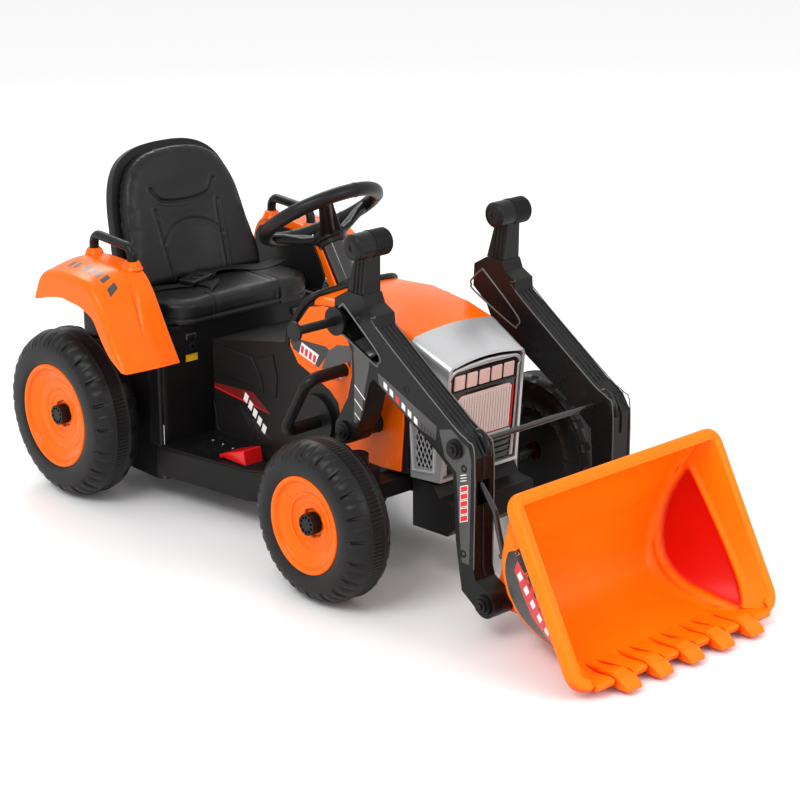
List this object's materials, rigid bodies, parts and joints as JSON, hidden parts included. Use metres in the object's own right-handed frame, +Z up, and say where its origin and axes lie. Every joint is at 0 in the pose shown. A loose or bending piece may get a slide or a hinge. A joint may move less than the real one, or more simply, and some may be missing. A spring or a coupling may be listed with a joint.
{
  "type": "ride-on loader tractor",
  "caption": "Battery-powered ride-on toy tractor with a hand-lifted front loader, tilting bucket, padded seat, steering wheel and foot pedal.",
  "frame": {"origin": "middle of the bounding box's footprint, on the ground", "axes": "+X forward towards the bucket, +Y the driver's left, +Z up"},
  "size_m": [1.5, 0.68, 0.6529],
  "materials": {
    "tyre": "moulded",
    "rim_plastic": "gloss",
    "black_steel": "gloss",
    "steel": "zinc plated",
    "body_gloss": "gloss",
    "bucket_plastic": "satin",
    "silver_plastic": "silver paint",
    "lens": "clear ribbed",
    "red_plastic": "gloss",
    "leather": "grained",
    "webbing": "woven",
    "battery_case": "matte",
    "gearbox_case": "matte",
    "wheel_plastic": "satin",
    "black_plastic": "satin"
  },
  "bodies": {
    "chassis": {"axle_beam": "black_plastic", "battery": "battery_case", "belt_buckle": "black_plastic", "centre_body": "black_plastic", "charging_socket": "black_plastic", "chassis_bolts": "steel", "column_collar": "wheel_plastic", "dash_panel": "black_plastic", "fender_left": "body_gloss", "fender_right": "body_gloss", "front_bumper": "black_plastic", "gearbox_left": "gearbox_case", "gearbox_right": "gearbox_case", "grab_rail_left": "black_plastic", "grab_rail_right": "black_plastic", "grille": "black_plastic", "guard_tube_left": "black_plastic", "guard_tube_right": "black_plastic", "hood_cover": "body_gloss", "lamp_lens": "lens", "lap_belt_left": "webbing", "lap_belt_right": "webbing", "lower_body": "black_plastic", "nose_frame": "silver_plastic", "rear_axle": "steel", "seat_back_pad": "leather", "seat_base_pad": "leather", "seat_shell": "black_plastic", "side_panel_left": "body_gloss", "side_panel_right": "body_gloss", "steering_column": "wheel_plastic"},
    "boom": {"arm_right": "black_plastic", "arm_left": "black_plastic", "handle_right": "black_plastic", "handle_left": "black_plastic", "crossbar": "black_steel", "loader_bolts": "black_plastic"},
    "bucket": {"bucket": "bucket_plastic"},
    "tilt_peg": {"tilt_peg": "black_plastic"},
    "link_rod": {"link_rod": "black_steel"},
    "steering": {"steering_wheel": "wheel_plastic", "steering_shaft": "steel"},
    "knuckle_right": {"knuckle_right": "steel"},
    "knuckle_left": {"knuckle_left": "steel"},
    "tie_rod": {"tie_rod": "black_steel"},
    "drive_pedal": {"drive_pedal": "red_plastic"},
    "direction_switch": {"direction_switch": "black_plastic"},
    "power_button": {"power_button": "red_plastic"},
    "front_wheel_right": {"front_tyre_right": "tyre", "front_rim_right": "rim_plastic", "front_hub_cap_right": "black_plastic"},
    "front_wheel_left": {"front_tyre_left": "tyre", "front_rim_left": "rim_plastic", "front_hub_cap_left": "black_plastic"},
    "rear_wheel_right": {"rear_tyre_right": "tyre", "rear_rim_right": "rim_plastic", "rear_hub_cap_right": "black_plastic"},
    "rear_wheel_left": {"rear_tyre_left": "tyre", "rear_rim_left": "rim_plastic", "rear_hub_cap_left": "black_plastic"}
  },
  "joints": [
    {"name": "boom_lift", "type": "hinge", "parent": "chassis", "child": "boom", "pos_m": [0.095, 0, 0.278], "axis": [0, -1, 0], "range_deg": [0, 32]},
    {"name": "bucket_tilt", "type": "hinge", "parent": "boom", "child": "bucket", "pos_m": [0.445, 0, 0.064], "axis": [0, 1, 0], "range_deg": [0, 30]},
    {"name": "tilt_peg_slide", "type": "slide", "parent": "boom", "child": "tilt_peg", "axis": [0.9177, 0, -0.3973], "range_m": [0, 0.1017]},
    {"name": "link_rod_pivot", "type": "hinge", "parent": "bucket", "child": "link_rod", "pos_m": [0.465, -0.165, 0.152], "axis": [0, -1, 0], "range_deg": [0, 42]},
    {"name": "steering_wheel_turn", "type": "hinge", "parent": "chassis", "child": "steering", "pos_m": [-0.182, 0, 0.579], "axis": [-0.5592, 0, 0.829], "range_deg": [-34, 34]},
    {"name": "kingpin_turn_right", "type": "hinge", "parent": "chassis", "child": "knuckle_right", "pos_m": [0.132, -0.19, 0.145], "axis": [0, 0, 1], "range_deg": [-20, 20]},
    {"name": "kingpin_turn_left", "type": "hinge", "parent": "chassis", "child": "knuckle_left", "pos_m": [0.132, 0.19, 0.145], "axis": [0, 0, 1], "range_deg": [-20, 20]},
    {"name": "tie_rod_slide", "type": "slide", "parent": "chassis", "child": "tie_rod", "axis": [0, 1, 0], "range_m": [-0.0168, 0.0168]},
    {"name": "pedal_press", "type": "hinge", "parent": "chassis", "child": "drive_pedal", "pos_m": [-0.281, -0.144, 0.124], "axis": [0, 1, 0], "range_deg": [0, 7], "stiffness_Nm_per_rad": 2},
    {"name": "direction_rock", "type": "hinge", "parent": "chassis", "child": "direction_switch", "pos_m": [-0.10557, -0.048, 0.42916], "axis": [0, 1, 0], "range_deg": [-8, 8]},
    {"name": "power_press", "type": "slide", "parent": "chassis", "child": "power_button", "axis": [0.7003, 0, -0.7138], "range_m": [0, 0.002], "stiffness_N_per_m": 200, "springref_m": -0.001},
    {"name": "front_wheel_spin_right", "type": "hinge", "parent": "knuckle_right", "child": "front_wheel_right", "pos_m": [0.132, -0.316, 0.145], "axis": [0, 1, 0], "continuous": true},
    {"name": "front_wheel_spin_left", "type": "hinge", "parent": "knuckle_left", "child": "front_wheel_left", "pos_m": [0.132, 0.316, 0.145], "axis": [0, 1, 0], "continuous": true},
    {"name": "rear_wheel_spin_right", "type": "hinge", "parent": "chassis", "child": "rear_wheel_right", "pos_m": [-0.585, -0.34, 0.165], "axis": [0, 1, 0], "continuous": true},
    {"name": "rear_wheel_spin_left", "type": "hinge", "parent": "chassis", "child": "rear_wheel_left", "pos_m": [-0.585, 0.34, 0.165], "axis": [0, 1, 0], "continuous": true}
  ],
  "couplings": [
    {"joint": "kingpin_turn_right", "follows": "steering_wheel_turn", "ratio": 0.58824},
    {"joint": "kingpin_turn_left", "follows": "steering_wheel_turn", "ratio": 0.58824},
    {"joint": "tie_rod_slide", "follows": "steering_wheel_turn", "m_per_rad": -0.028283},
    {"joint": "bucket_tilt", "follows": "tilt_peg_slide", "rad_per_m": 5.1479},
    {"joint": "link_rod_pivot", "follows": "tilt_peg_slide", "rad_per_m": 7.0355}
  ]
}
